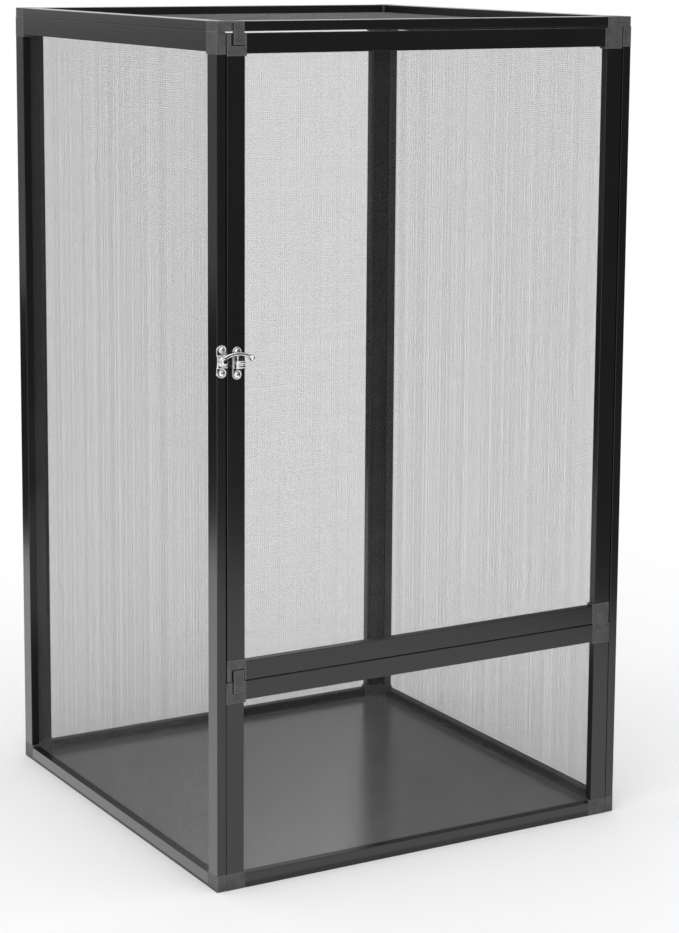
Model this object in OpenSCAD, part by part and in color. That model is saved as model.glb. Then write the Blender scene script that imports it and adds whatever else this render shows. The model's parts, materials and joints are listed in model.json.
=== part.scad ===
// Mesh cage for a climbing reptile: framed screen panels, a side-hung door and a hook latch.
// Millimetres, +Z up, front towards -Y, origin on the floor under the middle of the cage.

/* [Cage] */
// Width across the front
cage_w = 450; // [350:5:700]
// Depth from front to back
cage_d = 450; // [350:5:700]
// Height over the top frame
cage_h = 800; // [550:5:1200]
// Height of the fixed panel below the door
sill_h = 199; // [130:1:300]

/* [Frame profile] */
// Face width of the frame profile
profile_w = 18; // [17:0.5:22]
// Face height of the bottom rails
bottom_w = 14; // [13:0.5:18]
// Thickness of every panel
profile_t = 9; // [8.5:0.25:11]
// Wall of the hollow profile
profile_wall = 1.2; // [0.9:0.1:1.5]
// Radius of the long edges
profile_r = 0.5; // [0.3:0.1:0.9]
// Width of the groove for the spline
groove_w = 3.6; // [3.5:0.1:4.2]
// Depth of the groove for the spline
groove_d = 4.5; // [4.2:0.1:5]
// Width of the lip between the groove and the opening
lip_w = 1.2; // [1:0.1:1.8]
// Drop of that lip below the inner face
lip_drop = 1; // [0.95:0.05:1.4]

/* [Corner pieces] */
// Reach of a corner piece past the profile's face
corner_over = 2; // [2:0.5:5]
// Radius of a panel's outer corner
corner_r = 1.5; // [0.5:0.25:3]
// Length of the legs inside the profile
leg_l = 26; // [15:1:40]
// Clearance round a leg
leg_clear = 0.1; // [0.05:0.05:0.2]
// Diameter of the dowels between panels
dowel_d = 4; // [3:0.5:5]
// Depth of a dowel across a panel's thickness
dowel_across = 6; // [5:0.5:7]
// Depth of a dowel along a panel's face
dowel_along = 8; // [6:0.5:10]
// Clearance round a dowel
dowel_clear = 0.05; // [0.02:0.01:0.1]

/* [Screen] */
// Spacing of the drawn net
net_pitch = 40; // [36:1:60]
// Width of a drawn wire
net_wire = 1; // [0.6:0.1:2]
// Thickness of the net
net_t = 0.5; // [0.3:0.05:0.6]
// Depth of the net's edge folded into the groove
net_fold = 3; // [1:0.25:3.25]
// Clearance round the net
net_clear = 0.1; // [0.05:0.05:0.2]
// Diameter of the spline cord
spline_d = 2.8; // [2:0.1:2.8]

/* [Door] */
// Gap at each side of the door
side_gap = 1.4; // [1.2:0.1:3]
// Gap above the door
top_gap = 1.6; // [1:0.1:4]
// Seam on each side of the fixed panel below the door
seam_gap = 0.5; // [0.2:0.1:0.8]
// Gap below the door
sill_gap = 0.8; // [0.6:0.1:3]
// Running gap between a hinge land and the door
land_gap = 0.3; // [0.2:0.05:0.5]
// Diameter of the hinge pins
pin_d = 4; // [3:0.5:5]
// Running clearance round a hinge pin
pin_clear = 0.05; // [0.02:0.01:0.1]
// Depth of a hinge pin in the door
pin_in_door = 12; // [8:0.5:16]
// Depth of the upper hinge pin in the top frame
pin_in_top = 7; // [5:0.5:7.5]
// Depth of the lower hinge pin in the fixed panel
pin_in_sill = 12; // [8:0.5:16]

/* [Keepers] */
// Width of a keeper tongue
keeper_w = 10.4; // [8:0.1:12.5]
// Offset of the keepers from the middle of the door's corner piece
keeper_shift = 1.9; // [1:0.1:2.4]
// Reach of a keeper into the door
keeper_reach = 10; // [6:0.5:13]
// Height of a keeper's face above the corner pieces
keeper_proud = 0.6; // [0.2:0.1:1]
// Thickness of a keeper where it bridges a gap, below the corner pieces' faces
keeper_t = 2; // [1.5:0.25:3]
// Clearance at a keeper's right side and end
keeper_gap = 0.9; // [0.5:0.1:1.4]
// Width of the slit at a keeper's left side
slit_w = 2.2; // [0.8:0.1:2.4]
// Depth of that slit in the fixed corner pieces
slit_d = 2; // [1:0.25:2]
// Height of the groove under the lower keeper's face
foot_slit = 0.8; // [0.5:0.1:1.2]
// Depth of that groove
foot_d = 1; // [0.5:0.25:1.5]
// Thickness of the door stop behind a keeper
stop_t = 2; // [1.5:0.25:4]
// Overlap of the door stop behind the door
stop_over = 2; // [1:0.25:2.5]
// Reach of the door stop past the keeper's end
stop_end = 3; // [2:0.25:5]
// Gap between the door stop and the closed door
stop_gap = 0.3; // [0.2:0.05:0.6]

/* [Floor] */
// Thickness of the floor sheet
floor_t = 3; // [2:0.25:4]
// Height of the rail's lip below the floor sheet
floor_lip = 1.6; // [1.2:0.1:2.4]
// Depth of the floor slot in the bottom rails
floor_slot_d = 4.2; // [3:0.1:4.5]
// Clearance round the floor sheet
floor_clear = 0.2; // [0.1:0.05:0.4]

/* [Latch] */
// Height of the latch's pivot above the floor
latch_z = 498; // [300:1:600]
// Height of the latch's plates
latch_h = 30; // [28:0.5:40]
// Distance of a screw from the end of its plate
screw_end = 4.5; // [4:0.1:5.5]
// Thickness of the latch's plates
plate_t = 1.5; // [1:0.1:2]
// Clearance beside the hook's plate
plate_clear = 0.4; // [0.3:0.05:0.6]
// Rise of the hook plate's middle above its ends
boss_t = 1.5; // [1:0.1:2.5]
// Height of that raised middle, up and down the plate
boss_h = 12; // [10:0.5:13]
// Thickness of the hook
hook_t = 2.6; // [2:0.1:3.5]
// Radius of the hook's hub
hub_r = 4.7; // [4:0.1:5.5]
// Distance from the pivot to the finger end
arm_span = 28; // [25:0.5:36]
// Height of the arched arm above the pivot
arm_rise = 6.5; // [6:0.25:9]
// Height of the arm's two ends above the pivot
arm_base = 2.5; // [2:0.05:4]
// Width of the arm
arm_w = 3.6; // [2.5:0.1:4.5]
// Radius of the finger end
finger_r = 3; // [2:0.1:4]
// Width of the tongue that drops into the catch
tab_w = 6; // [4:0.5:8]
// Width of the catch's plate
catch_w = 9.6; // [8.5:0.1:11]
// Drop of the catch's plate below the hook's plate
catch_drop = 2.5; // [0:0.25:4]
// Offset of the catch from the middle of the door's stile
catch_shift = 0.6; // [0:0.1:1.5]
// Width of the catch's lug
lug_w = 9; // [7.5:0.5:12]
// Height of the catch's lug
lug_h = 7.5; // [6.5:0.5:10]
// Radius of the lug's corners
lug_r = 2.5; // [1:0.25:3]
// Offset of the lug from the middle of the catch's plate
lug_shift = 0.75; // [0:0.25:4]
// Height of the lug's top above the pivot
lug_top = 0.25; // [-1:0.25:3]
// Depth of the slot in the lug
lug_slot = 4.5; // [3:0.25:6]
// Thickness of the lug's front wall
lug_wall = 2; // [1.2:0.1:3]
// Clearance between the hook and the catch, and below the hook
hook_gap = 0.3; // [0.15:0.05:0.5]
// Running gap between the hook and its boss and rivet head
hook_side = 0.1; // [0.05:0.05:0.2]
// Diameter of the pivot rivet
rivet_d = 3; // [2:0.25:4]
// Diameter of the rivet's head
rivet_head_d = 6.4; // [5:0.2:8]
// Height of the rivet's head
rivet_head_h = 1.3; // [0.8:0.1:2]
// Diameter of a latch screw
screw_d = 2.6; // [2:0.1:3]
// Diameter of a latch screw's head
screw_head_d = 5.4; // [4.6:0.1:6]
// Length of a latch screw behind the plate
screw_l = 6; // [4:0.5:6.5]
// Clearance round a screw
screw_clear = 0.05; // [0.02:0.01:0.1]

/* [Hidden] */

$fn = 48;

// Colours of the finishes
frame_colour = "#222224";
plastic_colour = "#4a4a4c";
screen_colour = "#3a3a3c";
spline_colour = "#161616";
floor_colour = "#303032";
steel_colour = "#b9bcc0";
nickel_colour = "#d9dbde";

// Overlap that makes a cut pass clean through
cut = 0.2;
// Length of a leg inside its own corner piece
leg_root = 1;
// Spare depth at the end of a blind bore
bore_spare = 0.3;
// Spare depth above a hinge pin in the door
pin_spare = 0.5;
// Plain strip between the net's edge and its first gap
net_border = 1;

// Heights and widths of the panels
panel_h = cage_h - profile_t;
inner_w = cage_w - 2 * profile_t;
sill_w = inner_w - 2 * seam_gap;
door_w = inner_w - 2 * side_gap;
door_z = sill_h + sill_gap;
door_h = panel_h - top_gap - door_z;
door_top = door_z + door_h;
front_y = -cage_d / 2;

// Corner pieces: size beside a standard rail and beside a bottom rail
corner_w = profile_w + corner_over;
corner_h = bottom_w + corner_over;

// Hollow part of the profile below the groove
flat_t = profile_t - groove_d - 2 * profile_wall;
// Plane that the screen lies on
mesh_y = profile_t - lip_drop;

// Hinge axis, in the middle of the door's hinge corners
hinge_x = door_w / 2 - corner_w / 2;
hinge_y = front_y + profile_t / 2;

// Keepers, set on the door's left corners
keeper_x = -door_w / 2 + corner_w / 2 + keeper_shift;
keeper_x0 = keeper_x - keeper_w / 2;
notch_x = keeper_x0 - slit_w;
notch_w = slit_w + keeper_w + keeper_gap;
stop_w = notch_w + 2 * stop_over;
// The top frame's front corners end at the keeper's right side
top_block_l = keeper_x + keeper_w / 2 + cage_w / 2;

// Floor sheet
floor_slot_w = floor_t + floor_clear;
floor_z = floor_lip;
floor_in = floor_slot_d - floor_clear;

// Latch: the hook's plate is on the left panel's edge, the catch on the door's stile
hook_x = -cage_w / 2 + profile_t / 2;
catch_x = -door_w / 2 + profile_w / 2 + catch_shift;
catch_z = latch_z - catch_drop;
plate_w = profile_t + 2 * (side_gap - plate_clear);
screw_z = latch_h / 2 - screw_end;
lug_x = catch_x + lug_shift;
hook_out = plate_t + boss_t + hook_side;
slot_out = hook_out - hook_gap;
slot_w = hook_t + 2 * hook_gap;
lug_out = slot_out + slot_w + lug_wall;
arm_sag = arm_rise - arm_base;
arm_r = (pow(arm_span / 2, 2) + pow(arm_sag, 2)) / (2 * arm_sag);
arm_angle = asin(arm_span / 2 / arm_r);
// Depth that the hook's tab reaches into the arm
tab_root = arm_w / 4;

// Where the fold of the net and the corner pieces' legs lie across a profile
function fold_at(w) = w - lip_w - net_clear - net_t;
function deep_end(w) = w - lip_w - groove_w - profile_wall;
function spline_at(w) = w - lip_w - groove_w + net_clear + spline_d / 2;
function corner_of(w) = w + corner_over;

// Places of the panels: x across, z up, y from the outer face inwards
module in_left() translate([-cage_w / 2, cage_d / 2, 0]) rotate(-90) children();
module in_right() translate([cage_w / 2, -cage_d / 2, 0]) rotate(90) children();
module in_back() translate([inner_w / 2, cage_d / 2, 0]) rotate(180) children();
module in_top() translate([-cage_w / 2, front_y, cage_h]) rotate([-90, 0, 0]) children();
module in_sill() translate([-sill_w / 2, front_y, 0]) children();
module in_door() translate([-door_w / 2, front_y, door_z]) children();

// The other side and the upper end of a panel
module at_right(w) translate([w, 0, 0]) mirror([1, 0, 0]) children();
module at_top(h) translate([0, 0, h]) mirror([0, 0, 1]) children();

// The front face of the cage, drawn on outwards
module on_front(x, z) translate([x, front_y, z]) rotate([90, 0, 0]) children();

module rounded_rect(w, h, r) {
    translate([r, 0]) square([w - 2 * r, h]);
    translate([0, r]) square([w, h - 2 * r]);
    for (x = [r, w - r], y = [r, h - r])
        translate([x, y]) circle(r);
}

module obround(w, h) {
    translate([-w / 2, w / 2 - h / 2]) square([w, h - w]);
    for (s = [-1, 1])
        translate([0, s * (h - w) / 2]) circle(w / 2);
}

// Section of a profile: x from the panel's edge to its opening, y from the outer face inwards
module section(w, slotted) {
    difference() {
        rounded_rect(w, profile_t, profile_r);
        chamber(w, slotted);
        translate([profile_wall, profile_wall])
            square([w - lip_w - profile_wall, flat_t]);
        translate([w - lip_w - groove_w, profile_t - groove_d])
            square([groove_w, groove_d + cut]);
        translate([w - lip_w - cut, mesh_y])
            square([lip_w + 2 * cut, lip_drop + cut]);
        if (slotted)
            translate([floor_lip, profile_t - floor_slot_d])
                square([floor_slot_w, floor_slot_d + cut]);
    }
}

// Hollow that a corner piece's leg enters, drawn smaller all round by clear
module chamber(w, slotted, clear = 0) {
    size_w = (slotted ? w - lip_w : deep_end(w)) - profile_wall;
    size_t = slotted ? flat_t : profile_t - 2 * profile_wall;
    translate([profile_wall + clear, profile_wall + clear])
        square([size_w - 2 * clear, size_t - 2 * clear]);
}

// Left stile of a panel whose lower rail is low_w wide
module stile(h, low_w) {
    translate([0, 0, corner_of(low_w)])
        linear_extrude(h - corner_of(low_w) - corner_w)
            section(profile_w, false);
}

// Lower rail of a panel, between corner pieces of length end
module rail(w, low_w, end = corner_w) {
    translate([w - end, 0, 0]) rotate([0, -90, 0])
        linear_extrude(w - 2 * end)
            section(low_w, low_w != profile_w);
}

// Lower left corner piece, with a leg into the rail and a leg into the stile
module corner(low_w, length = corner_w) {
    height = corner_of(low_w);
    translate([0, profile_t, 0]) rotate([90, 0, 0])
        linear_extrude(profile_t)
            corner_outline(length, height);
    translate([length + leg_l, 0, 0]) rotate([0, -90, 0])
        linear_extrude(leg_l + leg_root)
            chamber(low_w, low_w != profile_w, leg_clear);
    translate([0, 0, height - leg_root])
        linear_extrude(leg_l + leg_root)
            chamber(profile_w, false, leg_clear);
}

module corner_outline(l, h) {
    translate([corner_r, 0]) square([l - corner_r, h]);
    translate([0, corner_r]) square([l, h - corner_r]);
    translate([corner_r, corner_r]) circle(corner_r);
}

module four_corners(w, h, low_w) {
    for (side = [0, 1]) {
        mirror_to(side, w) corner(low_w);
        mirror_to(side, w) at_top(h) corner(profile_w);
    }
}

module mirror_to(side, w) {
    if (side == 1)
        at_right(w) children();
    else
        children();
}

// Screen of a panel, its edge folded down into the grooves; the woven screen is drawn as a coarse net
module net(w, h, low_w, low_l = corner_w) {
    low = corner_of(low_w);
    x0 = fold_at(profile_w);
    z0 = fold_at(low_w);
    z1 = h - fold_at(profile_w);
    translate([0, mesh_y + net_t, 0]) rotate([90, 0, 0])
        linear_extrude(net_t)
            difference() {
                translate([x0, z0]) square([w - 2 * x0, z1 - z0]);
                net_notches(w, h, low, low_l);
                net_gaps(w, h, low);
            }
    fold_y = mesh_y - net_fold;
    fold_h = net_fold + net_t;
    for (x = [x0, w - x0 - net_t])
        translate([x, fold_y, low + net_clear])
            cube([net_t, fold_h, h - low - corner_w - 2 * net_clear]);
    translate([low_l + net_clear, fold_y, z0])
        cube([w - 2 * low_l - 2 * net_clear, fold_h, net_t]);
    translate([corner_w + net_clear, fold_y, z1 - net_t])
        cube([w - 2 * corner_w - 2 * net_clear, fold_h, net_t]);
}

// Cut-outs of the net round the corner pieces
module net_notches(w, h, low, low_l) {
    for (x = [0, w - low_l - net_clear])
        translate([x, 0]) square([low_l + net_clear, low + net_clear]);
    for (x = [0, w - corner_w - net_clear])
        translate([x, h - corner_w - net_clear]) square(corner_w + net_clear);
}

module net_gaps(w, h, low) {
    x0 = corner_w + net_border;
    z0 = low + net_border;
    size_x = w - 2 * x0;
    size_z = h - z0 - corner_w - net_border;
    nx = floor(size_x / net_pitch);
    nz = floor(size_z / net_pitch);
    step_x = size_x / nx;
    step_z = size_z / nz;
    for (i = [0:nx - 1], j = [0:nz - 1])
        translate([x0 + i * step_x + net_wire / 2, z0 + j * step_z + net_wire / 2])
            square([step_x - net_wire, step_z - net_wire]);
}

// Spline cords of a panel, one in each groove
module spline(w, h, low_w, low_l = corner_w) {
    low = corner_of(low_w);
    cord_y = profile_t - groove_d + net_clear + spline_d / 2;
    side = spline_at(profile_w);
    for (x = [side, w - side])
        translate([x, cord_y, low]) cylinder(h = h - low - corner_w, d = spline_d);
    translate([low_l, cord_y, spline_at(low_w)])
        rotate([0, 90, 0]) cylinder(h = w - 2 * low_l, d = spline_d);
    translate([corner_w, cord_y, h - side])
        rotate([0, 90, 0]) cylinder(h = w - 2 * corner_w, d = spline_d);
}

// Dowels from the thin way of one panel into the face of the next
module at_dowels() {
    for (sx = [-1, 1]) {
        for (sy = [-1, 1])
            translate([sx * (cage_w - profile_t) / 2, sy * (cage_d - corner_w) / 2, panel_h])
                rotate([180, 0, 0]) children();
        for (z = [corner_h / 2, panel_h - corner_w / 2])
            translate([sx * inner_w / 2, -hinge_y, z]) rotate([0, -90 * sx, 0]) children();
        for (z = [corner_h / 2, sill_h - corner_w / 2])
            translate([sx * inner_w / 2, hinge_y, z]) rotate([0, -90 * sx, 0]) children();
    }
}

module dowel_bores() {
    at_dowels()
        translate([0, 0, -dowel_across - bore_spare])
            cylinder(h = dowel_across + dowel_along + 2 * bore_spare, d = dowel_d + 2 * dowel_clear);
}

module hinge_bores() {
    upper = [door_top - pin_in_door, panel_h + pin_in_top];
    lower = [sill_h - pin_in_sill, door_z + pin_in_door];
    for (span = [upper, lower])
        translate([hinge_x, hinge_y, span[0]])
            cylinder(h = span[1] - span[0], d = pin_d + 2 * pin_clear);
}

// Land beside the door's hinge corner, from x to the door's edge and from z upwards
module hinge_land(x, z, t) {
    translate([x, front_y, z])
        cube([door_w / 2 - x, profile_t, t]);
}

// Tongue upwards from z, through the door's notch to the door stop
module keeper(z, h) {
    translate([keeper_x0, front_y, z])
        cube([keeper_w, profile_t + stop_gap + stop_t, h]);
}

// Raised face of a tongue, which also bridges the gap beside the door
module keeper_face(z0, z1) {
    translate([keeper_x0, front_y - keeper_proud, z0])
        cube([keeper_w, keeper_proud + keeper_t, z1 - z0]);
}

module door_stop(z, h) {
    translate([notch_x - stop_over, front_y + profile_t + stop_gap, z])
        cube([stop_w, stop_t, h]);
}

// Slit that parts a tongue from its corner piece at the front
module keeper_slit(z0, z1) {
    translate([notch_x, front_y - cut, z0])
        cube([slit_w, slit_d + cut, z1 - z0]);
}

// Groove that parts the lower tongue's face from its corner piece
module keeper_foot(z) {
    translate([notch_x, front_y - keeper_proud - cut, z - foot_slit])
        cube([slit_w + keeper_w, keeper_proud + foot_d + cut, foot_slit]);
}

// Room for both tongues in the door
module keeper_notches() {
    deep = keeper_reach + keeper_gap;
    for (z = [door_z - cut, door_top - deep])
        translate([notch_x, front_y - cut, z])
            cube([notch_w, profile_t + 2 * cut, deep + cut]);
}

module at_screws(x, z) {
    for (s = [-1, 1])
        on_front(x, z + s * screw_z) children();
}

// Countersunk screw, its head flush with the plate, grown all round by clear
module screw(clear = 0) {
    translate([0, 0, -screw_l])
        cylinder(h = screw_l + plate_t, d = screw_d + 2 * clear);
    cone_h = (screw_head_d - screw_d) / 2;
    translate([0, 0, plate_t - cone_h])
        cylinder(h = cone_h, d1 = screw_d + 2 * clear, d2 = screw_head_d + 2 * clear);
}

module latch_plate(x, z, w) {
    on_front(x, z) linear_extrude(plate_t) obround(w, latch_h);
}

// Arched arm about the pivot, its ends round
module arm() {
    centre = [arm_span / 2, arm_rise - arm_r];
    far = 2 * arm_r;
    intersection() {
        translate(centre) difference() {
            circle(arm_r + arm_w / 2);
            circle(arm_r - arm_w / 2);
        }
        polygon([
            centre,
            centre + far * [sin(arm_angle), cos(arm_angle)],
            centre + far * [0, 1],
            centre + far * [-sin(arm_angle), cos(arm_angle)],
        ]);
    }
    for (x = [0, arm_span])
        translate([x, arm_base]) circle(arm_w / 2);
}

// Left panel
module left_front_stile() {
    color(frame_colour) difference() {
        in_left() at_right(cage_d) stile(panel_h, bottom_w);
        dowel_bores();
        at_screws(hook_x, latch_z) screw(screw_clear);
    }
}
module left_rear_stile() color(frame_colour) in_left() stile(panel_h, bottom_w);
module left_top_rail() color(frame_colour) in_left() at_top(panel_h) rail(cage_d, profile_w);
module left_bottom_rail() color(frame_colour) in_left() rail(cage_d, bottom_w);
module left_corners() {
    color(plastic_colour) difference() {
        in_left() four_corners(cage_d, panel_h, bottom_w);
        dowel_bores();
    }
}
module left_mesh() color(screen_colour) in_left() net(cage_d, panel_h, bottom_w);
module left_spline() color(spline_colour) in_left() spline(cage_d, panel_h, bottom_w);

// Right panel
module right_front_stile() {
    color(frame_colour) difference() {
        in_right() stile(panel_h, bottom_w);
        dowel_bores();
    }
}
module right_rear_stile() color(frame_colour) in_right() at_right(cage_d) stile(panel_h, bottom_w);
module right_top_rail() color(frame_colour) in_right() at_top(panel_h) rail(cage_d, profile_w);
module right_bottom_rail() color(frame_colour) in_right() rail(cage_d, bottom_w);
module right_corners() {
    color(plastic_colour) difference() {
        in_right() four_corners(cage_d, panel_h, bottom_w);
        dowel_bores();
    }
}
module right_mesh() color(screen_colour) in_right() net(cage_d, panel_h, bottom_w);
module right_spline() color(spline_colour) in_right() spline(cage_d, panel_h, bottom_w);

// Back panel, between the side panels
module back_left_stile() color(frame_colour) in_back() at_right(inner_w) stile(panel_h, bottom_w);
module back_right_stile() color(frame_colour) in_back() stile(panel_h, bottom_w);
module back_top_rail() color(frame_colour) in_back() at_top(panel_h) rail(inner_w, profile_w);
module back_bottom_rail() color(frame_colour) in_back() rail(inner_w, bottom_w);
module back_corners() {
    color(plastic_colour) difference() {
        in_back() four_corners(inner_w, panel_h, bottom_w);
        dowel_bores();
    }
}
module back_mesh() color(screen_colour) in_back() net(inner_w, panel_h, bottom_w);
module back_spline() color(spline_colour) in_back() spline(inner_w, panel_h, bottom_w);

// Top frame, on the side panels and the back panel
module top_front_rail() color(frame_colour) in_top() rail(cage_w, profile_w, top_block_l);
module top_rear_rail() color(frame_colour) in_top() at_top(cage_d) rail(cage_w, profile_w);
module top_left_rail() color(frame_colour) in_top() stile(cage_d, profile_w);
module top_right_rail() color(frame_colour) in_top() at_right(cage_w) stile(cage_d, profile_w);
module top_keeper_corner() {
    color(plastic_colour) difference() {
        union() {
            in_top() corner(profile_w, top_block_l);
            keeper(door_top - keeper_reach, keeper_reach);
            keeper_face(door_top - keeper_reach, cage_h - corner_r);
            door_stop(door_top - keeper_reach - stop_end, keeper_reach + stop_end);
        }
        keeper_slit(panel_h - cut, cage_h - corner_r);
        dowel_bores();
    }
}
module top_hinge_corner() {
    color(plastic_colour) difference() {
        union() {
            in_top() at_right(cage_w) corner(profile_w, top_block_l);
            hinge_land(cage_w / 2 - top_block_l, door_top + land_gap, top_gap - land_gap + leg_root);
        }
        dowel_bores();
        hinge_bores();
    }
}
module top_rear_corners() {
    color(plastic_colour) difference() {
        in_top() for (side = [0, 1])
            mirror_to(side, cage_w) at_top(cage_d) corner(profile_w);
        dowel_bores();
    }
}
module top_mesh() color(screen_colour) in_top() net(cage_w, cage_d, profile_w, top_block_l);
module top_spline() color(spline_colour) in_top() spline(cage_w, cage_d, profile_w, top_block_l);

// Fixed panel below the door
module sill_left_stile() color(frame_colour) in_sill() stile(sill_h, bottom_w);
module sill_right_stile() color(frame_colour) in_sill() at_right(sill_w) stile(sill_h, bottom_w);
module sill_top_rail() color(frame_colour) in_sill() at_top(sill_h) rail(sill_w, profile_w);
module sill_bottom_rail() color(frame_colour) in_sill() rail(sill_w, bottom_w);
module sill_keeper_corner() {
    slit_z = sill_h - keeper_reach - keeper_gap;
    color(plastic_colour) difference() {
        union() {
            in_sill() at_top(sill_h) corner(profile_w);
            keeper(sill_h - leg_root, leg_root + sill_gap + keeper_reach);
            keeper_face(slit_z, door_z + keeper_reach);
            door_stop(sill_h, sill_gap + keeper_reach + stop_end);
            stop_root();
        }
        keeper_slit(slit_z, sill_h + cut);
        keeper_foot(slit_z);
        dowel_bores();
    }
}
// Foot of the door stop, on the back of the corner piece
module stop_root() {
    translate([notch_x, front_y + profile_t - leg_root, sill_h - keeper_reach])
        cube([notch_w, leg_root + stop_gap + stop_t, keeper_reach]);
}
module sill_hinge_corner() {
    color(plastic_colour) difference() {
        union() {
            in_sill() at_right(sill_w) at_top(sill_h) corner(profile_w);
            hinge_land(sill_w / 2 - corner_w, sill_h - leg_root, sill_gap - land_gap + leg_root);
        }
        dowel_bores();
        hinge_bores();
    }
}
module sill_bottom_corners() {
    color(plastic_colour) difference() {
        in_sill() for (side = [0, 1])
            mirror_to(side, sill_w) corner(bottom_w);
        dowel_bores();
    }
}
module sill_mesh() color(screen_colour) in_sill() net(sill_w, sill_h, bottom_w);
module sill_spline() color(spline_colour) in_sill() spline(sill_w, sill_h, bottom_w);

// Door
module door_latch_stile() {
    color(frame_colour) difference() {
        in_door() stile(door_h, profile_w);
        at_screws(catch_x, catch_z) screw(screw_clear);
    }
}
module door_hinge_stile() color(frame_colour) in_door() at_right(door_w) stile(door_h, profile_w);
module door_top_rail() color(frame_colour) in_door() at_top(door_h) rail(door_w, profile_w);
module door_bottom_rail() color(frame_colour) in_door() rail(door_w, profile_w);
module door_top_keeper_corner() {
    color(plastic_colour) difference() {
        in_door() at_top(door_h) corner(profile_w);
        keeper_notches();
    }
}
module door_bottom_keeper_corner() {
    color(plastic_colour) difference() {
        in_door() corner(profile_w);
        keeper_notches();
    }
}
module door_top_hinge_corner() {
    color(plastic_colour) difference() {
        in_door() at_right(door_w) at_top(door_h) corner(profile_w);
        hinge_bores();
    }
}
module door_bottom_hinge_corner() {
    color(plastic_colour) difference() {
        in_door() at_right(door_w) corner(profile_w);
        hinge_bores();
    }
}
module door_mesh() color(screen_colour) in_door() net(door_w, door_h, profile_w);
module door_spline() color(spline_colour) in_door() spline(door_w, door_h, profile_w);

// Floor sheet, its edges in the slots of the bottom rails
module floor_panel() {
    long_d = cage_d - 2 * (corner_w + floor_clear);
    long_w = inner_w - 2 * (corner_w + floor_clear);
    inner_d = cage_d - 2 * profile_t;
    color(floor_colour) translate([0, 0, floor_z]) linear_extrude(floor_t) {
        square([inner_w - 2 * floor_clear, inner_d - 2 * floor_clear], center = true);
        square([inner_w + 2 * floor_in, long_d], center = true);
        square([long_w, inner_d + 2 * floor_in], center = true);
    }
}

module panel_dowels() {
    color(plastic_colour) at_dowels()
        translate([0, 0, -dowel_across])
            cylinder(h = dowel_across + dowel_along, d = dowel_d);
}

// Hinge pins, seated in the frame
module upper_hinge_pin() {
    color(steel_colour) translate([hinge_x, hinge_y, door_top - pin_in_door + pin_spare])
        cylinder(h = top_gap + pin_in_door - pin_spare + pin_in_top, d = pin_d);
}
module lower_hinge_pin() {
    color(steel_colour) translate([hinge_x, hinge_y, sill_h - pin_in_sill])
        cylinder(h = pin_in_sill + sill_gap + pin_in_door - pin_spare, d = pin_d);
}

// Latch
module latch_hook_plate() {
    color(nickel_colour) difference() {
        union() {
            latch_plate(hook_x, latch_z, plate_w);
            on_front(hook_x - plate_w / 2, latch_z - boss_h / 2) linear_extrude(plate_t + boss_t)
                rounded_rect(plate_w, boss_h, corner_r);
        }
        on_front(hook_x, latch_z) translate([0, 0, -cut])
            cylinder(h = plate_t + boss_t + 2 * cut, d = rivet_d + 2 * pin_clear);
        at_screws(hook_x, latch_z) screw(screw_clear);
    }
}
module latch_hook() {
    tab_x = lug_x - hook_x;
    tab_z = lug_top - lug_slot + hook_gap;
    color(nickel_colour) on_front(hook_x, latch_z) translate([0, 0, hook_out]) difference() {
        union() {
            linear_extrude(hook_t) {
                circle(hub_r);
                arm();
                translate([tab_x - tab_w / 2, tab_z]) square([tab_w, arm_rise - tab_root - tab_z]);
            }
            translate([arm_span, arm_base, hook_t / 2]) sphere(finger_r);
        }
        translate([0, 0, -cut]) cylinder(h = hook_t + 2 * cut, d = rivet_d + 2 * pin_clear);
    }
}
module latch_rivet() {
    shank = hook_out + hook_t + hook_side;
    color(nickel_colour) on_front(hook_x, latch_z) {
        cylinder(h = shank + rivet_head_h, d = rivet_d);
        translate([0, 0, shank])
            cylinder(h = rivet_head_h, d1 = rivet_head_d, d2 = rivet_head_d - 2 * rivet_head_h);
    }
}
module latch_catch() {
    color(nickel_colour) difference() {
        union() {
            latch_plate(catch_x, catch_z, catch_w);
            on_front(lug_x - lug_w / 2, latch_z + lug_top - lug_h) linear_extrude(lug_out)
                rounded_rect(lug_w, lug_h, lug_r);
        }
        on_front(lug_x, latch_z + lug_top) translate([-lug_w / 2 - cut, -lug_slot, slot_out])
            cube([lug_w + 2 * cut, lug_slot + cut, slot_w]);
        at_screws(catch_x, catch_z) screw(screw_clear);
    }
}
module latch_hook_screws() color(steel_colour) at_screws(hook_x, latch_z) screw();
module latch_catch_screws() color(steel_colour) at_screws(catch_x, catch_z) screw();

left_front_stile();
left_rear_stile();
left_top_rail();
left_bottom_rail();
left_corners();
left_mesh();
left_spline();
right_front_stile();
right_rear_stile();
right_top_rail();
right_bottom_rail();
right_corners();
right_mesh();
right_spline();
back_left_stile();
back_right_stile();
back_top_rail();
back_bottom_rail();
back_corners();
back_mesh();
back_spline();
top_front_rail();
top_rear_rail();
top_left_rail();
top_right_rail();
top_keeper_corner();
top_hinge_corner();
top_rear_corners();
top_mesh();
top_spline();
sill_left_stile();
sill_right_stile();
sill_top_rail();
sill_bottom_rail();
sill_keeper_corner();
sill_hinge_corner();
sill_bottom_corners();
sill_mesh();
sill_spline();
door_latch_stile();
door_hinge_stile();
door_top_rail();
door_bottom_rail();
door_top_keeper_corner();
door_bottom_keeper_corner();
door_top_hinge_corner();
door_bottom_hinge_corner();
door_mesh();
door_spline();
floor_panel();
panel_dowels();
upper_hinge_pin();
lower_hinge_pin();
latch_hook_plate();
latch_hook();
latch_rivet();
latch_catch();
latch_hook_screws();
latch_catch_screws();
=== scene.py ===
import json
import math

import bmesh
import bpy
from mathutils import Matrix, Vector


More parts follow.
